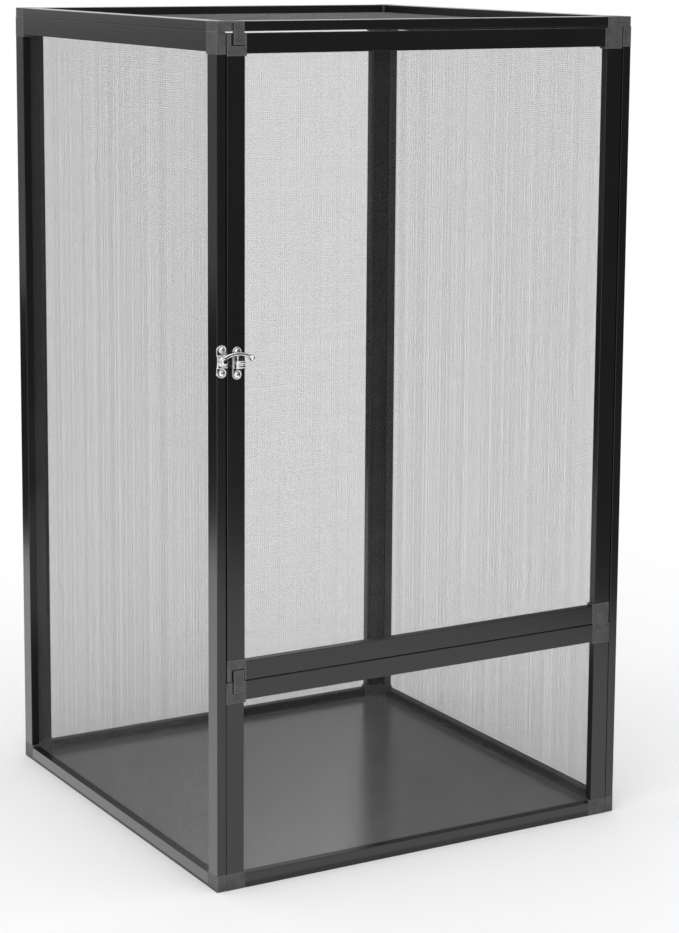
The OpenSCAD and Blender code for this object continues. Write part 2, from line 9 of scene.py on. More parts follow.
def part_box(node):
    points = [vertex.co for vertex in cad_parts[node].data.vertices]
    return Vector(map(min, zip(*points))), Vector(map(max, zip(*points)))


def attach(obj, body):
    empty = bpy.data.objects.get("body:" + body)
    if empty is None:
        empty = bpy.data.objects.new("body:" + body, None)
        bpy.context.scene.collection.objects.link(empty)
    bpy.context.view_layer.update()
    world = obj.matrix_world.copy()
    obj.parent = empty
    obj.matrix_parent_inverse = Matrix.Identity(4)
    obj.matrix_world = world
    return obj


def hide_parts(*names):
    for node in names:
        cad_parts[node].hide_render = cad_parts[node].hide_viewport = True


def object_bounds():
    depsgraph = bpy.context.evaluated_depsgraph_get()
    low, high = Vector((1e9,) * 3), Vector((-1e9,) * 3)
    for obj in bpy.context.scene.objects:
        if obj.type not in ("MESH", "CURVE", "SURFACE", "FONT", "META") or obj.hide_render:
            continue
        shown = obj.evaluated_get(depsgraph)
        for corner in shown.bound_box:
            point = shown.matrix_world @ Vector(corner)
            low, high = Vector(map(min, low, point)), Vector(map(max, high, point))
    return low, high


mm = 0.001    # the frame is in metres

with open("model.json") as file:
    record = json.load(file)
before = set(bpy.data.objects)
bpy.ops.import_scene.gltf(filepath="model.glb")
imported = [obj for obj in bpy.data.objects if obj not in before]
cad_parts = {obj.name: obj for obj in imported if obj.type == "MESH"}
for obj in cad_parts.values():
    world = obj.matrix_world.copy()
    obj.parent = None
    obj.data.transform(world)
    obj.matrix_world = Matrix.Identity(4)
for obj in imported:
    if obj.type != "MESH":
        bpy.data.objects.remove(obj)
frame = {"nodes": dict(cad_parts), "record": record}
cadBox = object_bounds()
nodes = frame["nodes"]
bodyOf = {n: b for b, names in frame["record"]["behaviour"]["bodies"].items() for n in names}
slotOf = {s["node"]: s["material_slot"] for s in frame["record"]["subparts"]}
cageMiddle = (cadBox[0] + cadBox[1]) / 2
scene = bpy.context.scene
scene.view_settings.view_transform = "Standard"


# one node socket, on which sums are written as plain expressions
class Sock:
    def __init__(self, graph, socket):
        self.graph = graph
        self.socket = socket

    def math(self, operation, *terms):
        return self.graph.node("ShaderNodeMath", {"operation": operation}, dict(enumerate(terms)))

    def beside(self):
        # all the outputs of this socket's node, by name
        return {s.name: Sock(self.graph, s) for s in self.socket.node.outputs if s.name}

    def __add__(self, other):
        return self.math("ADD", self, other)

    def __sub__(self, other):
        return self.math("SUBTRACT", self, other)

    def __rsub__(self, other):
        return self.math("SUBTRACT", other, self)

    def __mul__(self, other):
        return self.math("MULTIPLY", self, other)

    def __truediv__(self, other):
        return self.math("DIVIDE", self, other)

    def __rtruediv__(self, other):
        return self.math("DIVIDE", other, self)

    def __mod__(self, other):
        return self.math("MODULO", self, other)

    def __rmod__(self, other):
        return self.math("MODULO", other, self)

    def __gt__(self, other):
        return self.math("GREATER_THAN", self, other)

    def __lt__(self, other):
        return self.math("LESS_THAN", self, other)

    __radd__ = __add__
    __rmul__ = __mul__


# a node tree; every node in it comes from the one method
class Graph:
    def __init__(self, tree):
        self.tree = tree

    def node(self, kind, settings=None, inputs=None, out=0):
        made = self.tree.nodes.new(kind)
        for key, value in (settings or {}).items():
            setattr(made, key, value)
        for key, value in (inputs or {}).items():
            for one in value if isinstance(value, list) else [value]:
                if isinstance(one, Sock):
                    self.tree.links.new(one.socket, made.inputs[key])
                else:
                    made.inputs[key].default_value = one
        return Sock(self, made.outputs[out]) if len(made.outputs) else None


# finishes

def startFinish(name):
    material = bpy.data.materials.new(name)
    material.use_nodes = True
    material.node_tree.nodes.clear()
    return material, Graph(material.node_tree)


def endFinish(graph, inputs):
    surface = graph.node("ShaderNodeBsdfPrincipled", inputs=inputs)
    graph.node("ShaderNodeOutputMaterial", inputs={"Surface": surface})


def speckle(graph, size, stretch=(1, 1, 1), detail=2.0):
    place = graph.node("ShaderNodeTexCoord", out="Object")
    spread = graph.node("ShaderNodeMapping", inputs={"Vector": place, "Scale": stretch})
    return graph.node("ShaderNodeTexNoise", inputs={"Vector": spread, "Scale": 1 / size, "Detail": detail})


def swing(mask, amount):
    # speckle lies about a half, so this swings about zero
    return (mask - 0.5) * amount


def blend(graph, mask, first, second):
    pair = [c if isinstance(c, Sock) else (*c, 1) for c in (first, second)]
    inputs = {"Factor": mask, 6: pair[0], 7: pair[1]}    # 6, 7 and output 2 are the colours
    return graph.node("ShaderNodeMix", {"data_type": "RGBA"}, inputs, out=2)


def relief(graph, height, strength, depth):
    return graph.node("ShaderNodeBump", inputs={"Strength": strength, "Distance": depth, "Height": height})


anodised = {
    "dark": (0.0085, 0.0085, 0.0092),
    "light": (0.0125, 0.0125, 0.0132),
    "lines": 0.5 * mm,     # spacing of the drawing lines
    "pull": 0.004,         # their scale along the bar, which draws them out
    "cloud": 60 * mm,
    "cloudShare": 0.6,
    "rough": 0.20,
    "roughLines": 0.06,
    "roughCloud": 0.05,
    "bump": 0.10,
    "bumpDeep": 0.05 * mm,
}


def anodisedBar(axis):
    s = anodised
    material, graph = startFinish("anodisedBar" + "XYZ"[axis])
    stretch = [1, 1, 1]
    stretch[axis] = s["pull"]
    lines = speckle(graph, s["lines"], tuple(stretch))
    cloud = speckle(graph, s["cloud"])
    mottle = cloud * s["cloudShare"] + lines * (1 - s["cloudShare"])
    endFinish(graph, {
        "Base Color": blend(graph, mottle, s["dark"], s["light"]),
        "Roughness": s["rough"] + swing(lines, s["roughLines"]) + swing(cloud, s["roughCloud"]),
        "Normal": relief(graph, lines, s["bump"], s["bumpDeep"]),
    })
    return material


moulded = {
    "dark": (0.036, 0.036, 0.037),
    "light": (0.082, 0.082, 0.084),
    "grain": 1.9 * mm,
    "cloud": 9 * mm,
    "cloudShare": 0.5,
    "contrast": 3.2,
    "edge": 1.6 * mm,      # how far the painted edge highlight reaches
    # painted highlight: a paler colour on the edges, standing in for the light they catch
    "edgeHighlight": (0.15, 0.15, 0.153),
    "edgeHighlightGain": 3.5,
    "rough": 0.46,
    "roughGrain": 0.16,
    "gloss": 0.36,
    "bump": 0.5,
    "bumpCloud": 0.8,      # how much the cloud adds to the grain's relief
    "bumpDeep": 0.16 * mm,
}


def edgeMask(graph, reach, gain):
    # how far the surface turns within the reach
    eased = graph.node("ShaderNodeBevel", {"samples": 6}, {"Radius": reach})
    flat = graph.node("ShaderNodeNewGeometry", out="True Normal")
    facing = graph.node("ShaderNodeVectorMath", {"operation": "DOT_PRODUCT"}, {0: eased, 1: flat}, "Value")
    return (1 - facing) * gain


def mouldedPlastic():
    s = moulded
    material, graph = startFinish("mouldedPlastic")
    grain = speckle(graph, s["grain"], detail=3.0)
    cloud = speckle(graph, s["cloud"], detail=4.0)
    mottle = swing(cloud * s["cloudShare"] + grain * (1 - s["cloudShare"]), s["contrast"]) + 0.5
    body = blend(graph, mottle, s["dark"], s["light"])
    endFinish(graph, {
        # painted highlight: the body colour is blended towards the paler edge colour near the edges
        "Base Color": blend(graph, edgeMask(graph, s["edge"], s["edgeHighlightGain"]), body, s["edgeHighlight"]),
        "Roughness": s["rough"] + grain * s["roughGrain"],
        "Specular IOR Level": s["gloss"],
        "Normal": relief(graph, grain + cloud * s["bumpCloud"], s["bump"], s["bumpDeep"]),
    })
    return material


coated = {
    "dark": (0.024, 0.024, 0.025),
    "light": (0.044, 0.044, 0.045),
    # painted light: a pale colour laid on the wires' upward sides, standing in for light from above
    "paintedTopLight": (0.40, 0.40, 0.396),
    "paintedTopLightFrom": 0.3,       # upward slope at which the painted top light begins
    "paintedTopLightEven": 0.9,       # the even part of the painted top light, beside its clouds
    "gloss": 0.32,
    "cloud": 25 * mm,
    "grain": 0.12 * mm,
    "rough": 0.38,
    "roughGrain": 0.15,
    "bump": 0.2,
    "bumpDeep": 0.02 * mm,
}


def coatedWire():
    s = coated
    material, graph = startFinish("coatedWire")
    cloud = speckle(graph, s["cloud"])
    grain = speckle(graph, s["grain"])
    outward = graph.node("ShaderNodeTexCoord", out="Normal")
    upward = graph.node("ShaderNodeSeparateXYZ", inputs={0: outward}, out="Z")
    # painted light: the upward sides are blended towards the pale colour, standing in for light from above
    paintedTopLit = (upward - s["paintedTopLightFrom"]) * (cloud + s["paintedTopLightEven"])
    endFinish(graph, {
        "Base Color": blend(graph, paintedTopLit, blend(graph, cloud, s["dark"], s["light"]), s["paintedTopLight"]),
        "Roughness": s["rough"] + grain * s["roughGrain"],
        "Specular IOR Level": s["gloss"],
        "Normal": relief(graph, grain, s["bump"], s["bumpDeep"]),
    })
    return material


cord = {
    "dark": (0.010, 0.010, 0.010),
    "light": (0.018, 0.018, 0.018),
    "ribs": 0.7 * mm,
    "rough": 0.6,
    "roughRibs": 0.2,
    "bump": 0.5,
    "bumpDeep": 0.15 * mm,
}


def ribbedCord():
    s = cord
    material, graph = startFinish("ribbedCord")
    ribs = speckle(graph, s["ribs"])
    endFinish(graph, {
        "Base Color": blend(graph, ribs, s["dark"], s["light"]),
        "Roughness": s["rough"] + ribs * s["roughRibs"],
        "Normal": relief(graph, ribs, s["bump"], s["bumpDeep"]),
    })
    return material


sheet = {
    "dark": (0.070, 0.070, 0.071),
    "light": (0.130, 0.130, 0.132),
    "grain": 0.9 * mm,
    "cloud": 110 * mm,
    "scuff": 13 * mm,
    "scuffPull": (0.3, 1, 1),  # the scuffs run along the cage's front
    "scuffShare": 0.55,
    "rough": 0.15,
    "roughGrain": 0.05,
    "roughCloud": 0.08,
    "roughScuff": 0.10,
    "gloss": 1.0,
    "coat": 0.7,
    "coatRough": 0.20,
    "bump": 0.12,
    "bumpDeep": 0.06 * mm,
}


def satinSheet():
    s = sheet
    material, graph = startFinish("satinSheet")
    grain = speckle(graph, s["grain"], detail=3.0)
    cloud = speckle(graph, s["cloud"], detail=5.0)
    scuff = speckle(graph, s["scuff"], s["scuffPull"], detail=6.0)
    worn = cloud * (1 - s["scuffShare"]) + scuff * s["scuffShare"]
    uneven = grain * s["roughGrain"] + cloud * s["roughCloud"] + swing(scuff, s["roughScuff"])
    endFinish(graph, {
        "Base Color": blend(graph, worn, s["dark"], s["light"]),
        "Roughness": s["rough"] + uneven,
        "Specular IOR Level": s["gloss"],
        "Coat Weight": s["coat"],
        "Coat Roughness": s["coatRough"],
        "Normal": relief(graph, grain, s["bump"], s["bumpDeep"]),
    })
    return material


plated = {
    "wear": 2.2 * mm,
    "worn": 0.86,          # level of the colour where it is worn
    "roughWear": 0.10,
    "cast": 1.7 * mm,      # size of the waves in the metal under the plating
}


def platedMetal(name, colour, rough, waves):
    s = plated
    material, graph = startFinish(name)
    wear = speckle(graph, s["wear"], detail=4.0)
    cast = speckle(graph, s["cast"], detail=1.0)
    endFinish(graph, {
        "Base Color": blend(graph, wear, [c * s["worn"] for c in colour], colour),
        "Metallic": 1.0,
        "Roughness": rough + wear * s["roughWear"],
        "Normal": relief(graph, cast, 1.0, waves),
    })
    return material


barFinish = [anodisedBar(axis) for axis in range(3)]
finishes = {
    "corner_plastic": mouldedPlastic(),
    "screen_wire": coatedWire(),
    "spline_rubber": ribbedCord(),
    "floor_sheet": satinSheet(),
    "latch_nickel": platedMetal("brightNickel", colour=(0.68, 0.67, 0.66), rough=0.12, waves=0.18 * mm),
    "latch_screw": platedMetal("brightScrew", colour=(0.80, 0.79, 0.775), rough=0.20, waves=0.5 * mm),
    "hinge_steel": platedMetal("turnedSteel", colour=(0.52, 0.52, 0.53), rough=0.28, waves=0.02 * mm),
}


def finishOf(node):
    if slotOf[node] != "frame_black":
        return finishes[slotOf[node]]
    lo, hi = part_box(node)
    size = hi - lo
    return barFinish[max(range(3), key=lambda i: size[i])]    # the lines run along the bar


for node, part in nodes.items():
    for slot in part.material_slots:
        slot.material = finishOf(node)
print("finishes:", len(bpy.data.materials))


# pieces that stand for a node of the frame

def addPiece(name, mesh, node):
    piece = bpy.data.objects.new(name, mesh)
    scene.collection.objects.link(piece)
    if not mesh.materials:
        mesh.materials.append(finishOf(node))
    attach(piece, bodyOf[node])
    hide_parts(node)
    return piece


def baked(mesh, modify):
    # runs modifiers on a scratch object and returns the plain mesh
    scratch = bpy.data.objects.new("scratch", mesh)
    scene.collection.objects.link(scratch)
    modify(scratch)
    graph = bpy.context.evaluated_depsgraph_get()
    result = bpy.data.meshes.new_from_object(scratch.evaluated_get(graph))
    bpy.data.objects.remove(scratch)
    return result


def smooth(mesh, angle=32):
    mesh.polygons.foreach_set("use_smooth", [True] * len(mesh.polygons))
    mesh.set_sharp_from_angle(angle=math.radians(angle))


def softened(mesh, width, segments, angle=35, strip=0.9):
    # eases the edges, and shades as round only the narrow strips that this makes
    def bevel(scratch):
        step = scratch.modifiers.new("softEdge", "BEVEL")
        step.width = width
        step.segments = segments
        step.limit_method = "ANGLE"
        step.angle_limit = math.radians(angle)

    result = baked(mesh, bevel)
    smooth(result)
    for face in result.polygons:
        corners = [result.vertices[v].co for v in face.vertices]
        around = sum((a - b).length for a, b in zip(corners, corners[1:] + corners[:1]))
        face.use_smooth = 2 * face.area < strip * width * around
    return result


def fromFaces(name, points, faces, merge=0.001 * mm):
    mesh = bpy.data.meshes.new(name)
    mesh.from_pydata(points, [], faces)
    work = bmesh.new()
    work.from_mesh(mesh)
    bmesh.ops.remove_doubles(work, verts=work.verts, dist=merge)
    bmesh.ops.recalc_face_normals(work, faces=work.faces)
    work.to_mesh(mesh)
    work.free()
    return mesh


def bandFaces(rings, count):
    # the faces between rings of points that follow each other
    faces = []
    for i in range(rings - 1):
        near, far = i * count, (i + 1) * count
        for k in range(count):
            j = (k + 1) % count
            faces.append((near + k, near + j, far + j, far + k))
    return faces


def joined(name, meshes):
    work = bmesh.new()
    for mesh in meshes:
        work.from_mesh(mesh)
    result = bpy.data.meshes.new(name)
    work.to_mesh(result)
    work.free()
    return result


# node trees that make a mesh

def startTree(name, kinds):
    tree = bpy.data.node_groups.new(name, "GeometryNodeTree")
    tree.interface.new_socket("Geometry", in_out="OUTPUT", socket_type="NodeSocketGeometry")
    for label, kind in kinds.items():
        tree.interface.new_socket(label, in_out="INPUT", socket_type="NodeSocket" + kind)
    graph = Graph(tree)
    return graph, graph.node("NodeGroupInput").beside()


def endTree(graph, geometry, finish):
    real = graph.node("GeometryNodeRealizeInstances", inputs={"Geometry": geometry})
    dressed = graph.node("GeometryNodeSetMaterial", inputs={"Geometry": real, "Material": finish})
    graph.node("NodeGroupOutput", inputs={"Geometry": dressed})
    return graph.tree


def vector(graph, **axes):
    return graph.node("ShaderNodeCombineXYZ", inputs=axes)


def grown(tree, values):
    # the plain mesh that a tree makes from nothing
    def grow(scratch):
        step = scratch.modifiers.new(tree.name, "NODES")
        step.node_group = tree
        for item in tree.interface.items_tree:
            if item.in_out == "INPUT":
                step[item.identifier] = values[item.name]

    return baked(bpy.data.meshes.new("blank"), grow)


# screens: straight wires in two layers, their ends folded into the spline groove

screen = {
    "Upright Pitch": 0.50 * mm,
    "Level Pitch": 0.50 * mm,
    "Upright Wire": 0.068 * mm,
    "Level Wire": 0.055 * mm,
    "Wander": 0.035,        # how far a wire strays, as a share of the pitch
    "Upright Heavy": 0.80,  # how much wider every few wires are than the rest, as a share of the wire
    "Level Heavy": 0.80,
    "Heavy Every": 4,       # so that the heavy wires lie 2 mm apart, as the real weave's seem to
    "Notch": 3.9 * mm,      # what a corner piece takes off the outermost wires
    "Sides": 6,
    "Seed": 7,
}
# the side screens' wires stray more, and their uprights are even, or they would beat with the screens behind
sideScreen = {"Wander": 0.36, "Upright Heavy": 0.0, "Level Heavy": 1.60, "Upright Wire": 0.075 * mm}
netThick = 0.5 * mm         # of the net in the frame, which the two layers lie within


def wireLayer(graph, across, along, given, layer):
    pitch, wire, heavy = (given[layer + part] for part in (" Pitch", " Wire", " Heavy"))
    fold, notch, every = given["Fold"], given["Notch"], given["Heavy Every"]
    index = graph.node("GeometryNodeInputIndex")

    # a row with the wires' places, all but the outermost strayed a little
    span = across - wire
    steps = span.math("ROUND", span / pitch)
    row = graph.node("GeometryNodeMeshLine", inputs={
        "Count": steps + 1,
        "Start Location": vector(graph, X=span * -0.5),
        "Offset": vector(graph, X=span / steps),
    })
    stray = pitch * given["Wander"]
    limits = {2: stray * -1.0, 3: stray, 8: given["Seed"]}    # the sockets of a float's limits and the seed
    shift = graph.node("FunctionNodeRandomValue", {"data_type": "FLOAT"}, limits, out=1)
    row = graph.node("GeometryNodeSetPosition", inputs={
        "Geometry": row,
        "Selection": (index > 0.5) * (index < steps - 0.5),
        "Offset": vector(graph, X=shift),
    })

    # one wire through four points, the first and the last folded
    farHalf = index > 1.5
    ends = (index > 2.5) + (index < 0.5)
    chain = graph.node("GeometryNodeSetPosition", inputs={
        "Geometry": graph.node("GeometryNodeMeshLine", inputs={"Count": 4}),
        "Position": vector(graph, Y=(farHalf - 0.5) * along, Z=ends * fold * -1.0),
    })
    strand = graph.node("GeometryNodeCurveToMesh", inputs={
        "Curve": graph.node("GeometryNodeMeshToCurve", inputs={"Mesh": chain}),
        "Profile Curve": graph.node("GeometryNodeCurvePrimitiveCircle", inputs={
            "Resolution": given["Sides"], "Radius": wire * 0.5,
        }),
        "Fill Caps": True,
    })

    # shorter beside the corner pieces, and every few wires wider
    place = graph.node("ShaderNodeSeparateXYZ", inputs={0: graph.node("GeometryNodeInputPosition")})
    edge = place.math("ABSOLUTE", place) > span * 0.5 - notch
    shorter = 1 - edge * notch * 2.0 / along
    wider = heavy * ((index % every < 0.5) - 1 / every) + 1
    return graph.node("GeometryNodeInstanceOnPoints", inputs={
        "Points": row, "Instance": strand, "Scale": vector(graph, X=wider, Y=shorter, Z=1.0),
    })


def screenTree():
    kinds = dict.fromkeys(["Width", "Height", "Fold", *screen], "Float")
    kinds.update({"Sides": "Int", "Seed": "Int", "Finish": "Material"})
    graph, given = startTree("screenWires", kinds)
    width, height = given["Width"], given["Height"]
    upright = graph.node("GeometryNodeTransform", inputs={
        "Geometry": wireLayer(graph, width, height, given, "Upright"),
        "Translation": vector(graph, Z=given["Upright Wire"] * -0.5),
    })
    level = graph.node("GeometryNodeTransform", inputs={
        "Geometry": wireLayer(graph, height, width, given, "Level"),
        "Translation": vector(graph, Z=given["Level Wire"] * 0.5),
        "Rotation": (0, 0, math.pi / 2),
    })
    both = graph.node("GeometryNodeJoinGeometry", inputs={"Geometry": [upright, level]})
    return endTree(graph, both, given["Finish"])


def screenOf(panel, tree, seed):
    node = panel + "_mesh"
    lo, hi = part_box(node)
    size = hi - lo
    middle = (lo + hi) / 2
    thin = min(range(3), key=lambda i: size[i])
    inward = Vector((0, 0, 0))
    inward[thin] = -1 if middle[thin] > cageMiddle[thin] else 1
    up = Vector((1, 0, 0)) if thin == 2 else Vector((0, 0, 1))
    across = up.cross(inward)
    fold = size[thin] - netThick
    mesh = grown(tree, {
        **screen,
        **(sideScreen if thin == 0 else {}),
        "Width": abs(size.dot(across)),
        "Height": abs(size.dot(up)),
        "Fold": fold,
        "Seed": seed,
        "Finish": finishes["screen_wire"],
    })
    place = Matrix((across, up, inward)).transposed().to_4x4()
    place.translation = middle + inward * fold / 2
    mesh.transform(place)
    smooth(mesh, angle=70)
    return addPiece(panel + "Screen", mesh, node)


wireTree = screenTree()
for turn, panel in enumerate(["left", "right", "back", "top", "sill", "door"]):
    made = screenOf(panel, wireTree, screen["Seed"] + turn)
    print("screen:", made.name, len(made.data.polygons), "faces")


# moulded corner pieces, their edges eased

easedEdge = {
    "width": 0.45 * mm,
    "segments": 2,
    "flat": 1.0,           # faces within this angle are taken as one
    "merge": 0.002 * mm,
}


def easedCorner(node):
    s = easedEdge
    work = bmesh.new()
    work.from_mesh(nodes[node].data)
    bmesh.ops.remove_doubles(work, verts=work.verts, dist=s["merge"])
    bmesh.ops.dissolve_limit(work, angle_limit=math.radians(s["flat"]), verts=work.verts, edges=work.edges)
    mesh = bpy.data.meshes.new(node)
    work.to_mesh(mesh)
    work.free()
    result = softened(mesh, s["width"], s["segments"])
    result.materials.clear()
    addPiece(node + ".eased", result, node)


for node in nodes:
    if "corner" in node:
        easedCorner(node)
print("corner pieces eased")


# hook latch, drawn about its pivot: x across, y up, z out from the cage's front

plateLo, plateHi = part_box("latch_hook_plate")
catchLo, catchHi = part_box("latch_catch")
rivetLo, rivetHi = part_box("latch_rivet")
pivot = Vector(((plateLo.x + plateHi.x) / 2, plateHi.y, (plateLo.z + plateHi.z) / 2))


def onFront(mesh, x=0.0, z=0.0):
    # from the latch's own axes to the frame's
    turn = Matrix.Translation(pivot + Vector((x, 0, z))) @ Matrix.Rotation(math.pi / 2, 4, "X")
    mesh.transform(turn)
    return mesh


def turnSteps(first, last, count):
    return [math.radians(first + (last - first) * k / count) for k in range(count + 1)]


def lathe(profile, count=48):
    points = []
    for r, z in profile:
        for k in range(count):
            angle = 2 * math.pi * k / count
            points.append((r * math.cos(angle), r * math.sin(angle), z))
    return fromFaces("lathe", points, bandFaces(len(profile), count))


def rounded(r0, r1, z0, z1, ease, steps=5):
    # outline of a washer with eased edges, from the bore up, over and down again
    arc = turnSteps(0, 90, steps)
    top = [(r1 - ease + ease * math.sin(a), z1 - ease + ease * math.cos(a)) for a in arc]
    low = [(r1 - ease + ease * math.cos(a), z0 + ease - ease * math.sin(a)) for a in arc]
    return [(r0, z0), (r0, z1), *top, *low, (r0, z0)]


def block(x0, x1, y0, y1, z0, z1, ease):
    points = [(x, y, z) for x in (x0, x1) for y in (y0, y1) for z in (z0, z1)]
    faces = [(0, 1, 3, 2), (4, 6, 7, 5), (0, 4, 5, 1), (2, 3, 7, 6), (0, 2, 6, 4), (1, 5, 7, 3)]
    return softened(fromFaces("block", points, faces), ease, segments=3)


latchPlate = {
    "width": plateHi.x - plateLo.x,
    "height": plateHi.z - plateLo.z,
    "thick": 1.5 * mm,
    "rim": 0.6 * mm,       # rounding of the edge
    "screwEnd": 4.5 * mm,  # from a screw to the plate's end
    "dishR": 3.1 * mm,     # middle of the groove round a screw
    "dishHalf": 0.8 * mm,
    "dishDeep": 0.4 * mm,
    "seatR": 2.2 * mm,     # the plate is sunk below the screw's head
    "seatDeep": 0.9 * mm,
    "root": 0.2 * mm,      # what stands on a plate begins inside it
    "middleH": 12 * mm,    # raised middle of the hook's plate
    "middleTop": 3.0 * mm,
    "middleEase": 0.9 * mm,
    "arcSteps": 28,
    "straightSteps": 36,
    "rimSteps": 4,
    "inSteps": 22,         # from the rim to the middle line
}


def dishDepth(x, y, screwY):
    s = latchPlate
    depth = 0.0
    for height in (screwY, -screwY):
        d = math.hypot(x, y - height)
        near = abs(d - s["dishR"]) / s["dishHalf"]
        if near < 1:
            depth = max(depth, s["dishDeep"] * 0.5 * (1 + math.cos(math.pi * near)))
        if d < s["seatR"]:
            depth = s["seatDeep"]
    return depth


def dishedPlate(name, width):
    # a strip with round ends and a groove round each screw
    s = latchPlate
    r = width / 2
    reach = s["height"] / 2 - r
    screwY = s["height"] / 2 - s["screwEnd"]
    spine = []    # heights on the middle line, each with a way out to the edge
    for side in (1, -1):
        for a in turnSteps(0, 180, s["arcSteps"])[:-1]:
            spine.append((side * reach, side * math.cos(a), side * math.sin(a)))
        for k in range(s["straightSteps"]):
            spine.append((side * reach * (1 - 2 * k / s["straightSteps"]), -side, 0.0))
    rim = s["rim"]
    rings = [(1.0, 0.0), (1.0, s["thick"] - rim)]
    for a in turnSteps(0, 90, s["rimSteps"])[1:]:
        rings.append((1 - rim * (1 - math.cos(a)) / r, s["thick"] - rim * (1 - math.sin(a))))
    inner = rings[-1][0]
    rings += [(inner * (1 - k / s["inSteps"]), s["thick"]) for k in range(1, s["inSteps"] + 1)]
    points = []
    for share, z in rings:
        for height, dx, dy in spine:
            x = dx * r * share
            y = height + dy * r * share
            points.append((x, y, z - (dishDepth(x, y, screwY) if z == s["thick"] else 0)))
    count = len(spine)
    return fromFaces(name, points, [tuple(range(count)), *bandFaces(len(rings), count)])


def hookPlate():
    s = latchPlate
    strip = dishedPlate("hookPlate", s["width"])
    smooth(strip, angle=40)
    half = s["width"] / 2, s["middleH"] / 2
    middle = block(-half[0], half[0], -half[1], half[1], s["root"], s["middleTop"], s["middleEase"])
    return onFront(joined("hookPlate", [strip, middle]))


# the catch: a plate with a slotted lug

catchShape = {
    "width": 9.6 * mm,
    "lugX": 0.75 * mm,
    "lugW": 9 * mm,
    "lugTop": 0.25 * mm,   # above the pivot
    "lugH": 7.5 * mm,
    "lugOut": 8.0 * mm,
    "lipH": 2.9 * mm,      # height of the lug's upper lobe
    "lipTo": 150,          # angles at which the lobes' curves meet
    "underFrom": 40,
    "lobeSteps": 9,
    "draw": 1.9 * mm,      # how far the lug's ends are drawn in
    "drawSquare": 0.5,     # 1 is round, less is squarer
    "drawSteps": 16,
    "slotNear": 2.8 * mm,
    "slotFar": 6.0 * mm,
    "slotFloor": -4.25 * mm,
}
catchX = catchLo.x + catchShape["width"] / 2 - pivot.x
catchDrop = (catchLo.z + catchHi.z) / 2 - pivot.z


def lugOutline():
    # side view of the slotted lug, out from the plate and up; its front has two lobes
    s = catchShape
    root = latchPlate["root"]
    low = s["lugTop"] - s["lugH"]
    lip = s["lipH"] / 2
    under = (s["lugH"] - s["lipH"]) / 2
    outline = [(root, low), (root, s["lugTop"]), (s["slotNear"], s["lugTop"])]
    outline += [(s["slotNear"], s["slotFloor"]), (s["slotFar"], s["slotFloor"]), (s["slotFar"], s["lugTop"])]
    for a in turnSteps(0, s["lipTo"], s["lobeSteps"]):
        outline.append((s["lugOut"] - lip + lip * math.sin(a), s["lugTop"] - lip + lip * math.cos(a)))
    for a in turnSteps(s["underFrom"], 180, s["lobeSteps"]):
        outline.append((s["lugOut"] - under + under * math.sin(a), low + under + under * math.cos(a)))
    return outline


def lugBlock():
    # the outline run across the catch and drawn in towards both ends
    s = catchShape
    outline = lugOutline()
    middle = s["lugTop"] - s["lugH"] / 2
    wall = s["lugOut"] - s["slotFar"]
    turns = turnSteps(-90, 90, s["drawSteps"])
    points = []
    for a in turns:
        drawn = s["draw"] * (1 - max(0.0, math.cos(a)) ** s["drawSquare"])
        lower = 1 - drawn / s["lugH"]
        for z, y in outline:
            back = drawn * max(0.0, z - s["slotFar"]) / wall
            points.append((s["lugW"] / 2 * math.sin(a), middle + (y - middle) * lower, z - back))
    count = len(outline)
    last = (len(turns) - 1) * count
    ends = [tuple(range(count)), tuple(range(last, last + count))]
    mesh = fromFaces("lug", points, ends + bandFaces(len(turns), count))
    smooth(mesh, angle=50)
    mesh.transform(Matrix.Translation((s["lugX"], -catchDrop, 0)))
    return mesh


def catchPlate():
    strip = dishedPlate("catchPlate", catchShape["width"])
    smooth(strip, angle=40)
    return onFront(joined("catchPlate", [strip, lugBlock()]), catchX, catchDrop)


# the rivet that the hook turns on, and the hook

rivetShape = {
    "shankR": 1.5 * mm,
    "gap": 0.1 * mm,       # between the hook and the head
    "edgeUp": 0.35 * mm,   # the slope under the head's edge
    "edgeIn": 0.25 * mm,
    "domeSteps": 8,
}
hookShape = {
    "low": 3.1 * mm,       # from the cage's front to the hook's back
    "thick": 2.6 * mm,
    "hubR": 4.7 * mm,
    "hubEase": 1.2 * mm,
    "boreGap": 0.05 * mm,  # round the rivet
    "armSpan": 28 * mm,    # from the pivot to the finger
    "armRise": 6.5 * mm,   # height of the arch's crown
    "armBase": 2.5 * mm,   # height of the arch's ends
    "armW": 3.6 * mm,
    "armTip": 2.8 * mm,
    "armRound": 0.8,       # 1 is an oval, less is squarer
    "armSteps": 40,
    "armAround": 20,
    "neck": 1.4 * mm,      # from the collar's middle to the arm's end
    "collarR": 2.3 * mm,
    "collarH": 1.1 * mm,
    "collarTo": 155,       # angles at which the collar's and the ball's curves meet
    "collarSteps": 8,
    "ballR": 2.95 * mm,
    "ballH": 2.3 * mm,
    "ballOut": 1.0 * mm,
    "ballFrom": 35,
    "ballSteps": 12,
    "fingerAround": 32,
    "tabW": 6 * mm,
    "tabLift": 0.3 * mm,   # above the slot's floor
    "tabDrop": 0.5 * mm,   # below the arch's crown
    "tabInset": 0.2 * mm,  # behind the hook's faces
    "tabEase": 1.05 * mm,
}


def pivotRivet():
    s = rivetShape
    root = latchPlate["root"]
    top = pivot.y - rivetLo.y
    under = hookShape["low"] + hookShape["thick"] + s["gap"]
    edge = under + s["edgeUp"]
    headR = (rivetHi.x - rivetLo.x) / 2
    shank = [(0, root), (s["shankR"], root), (s["shankR"], under), (headR - s["edgeIn"], under)]
    turns = turnSteps(0, 90, s["domeSteps"])
    dome = [(headR * math.cos(a), edge + (top - edge) * math.sin(a)) for a in turns]
    mesh = lathe(shank + dome)
    smooth(mesh, angle=40)
    return onFront(mesh)


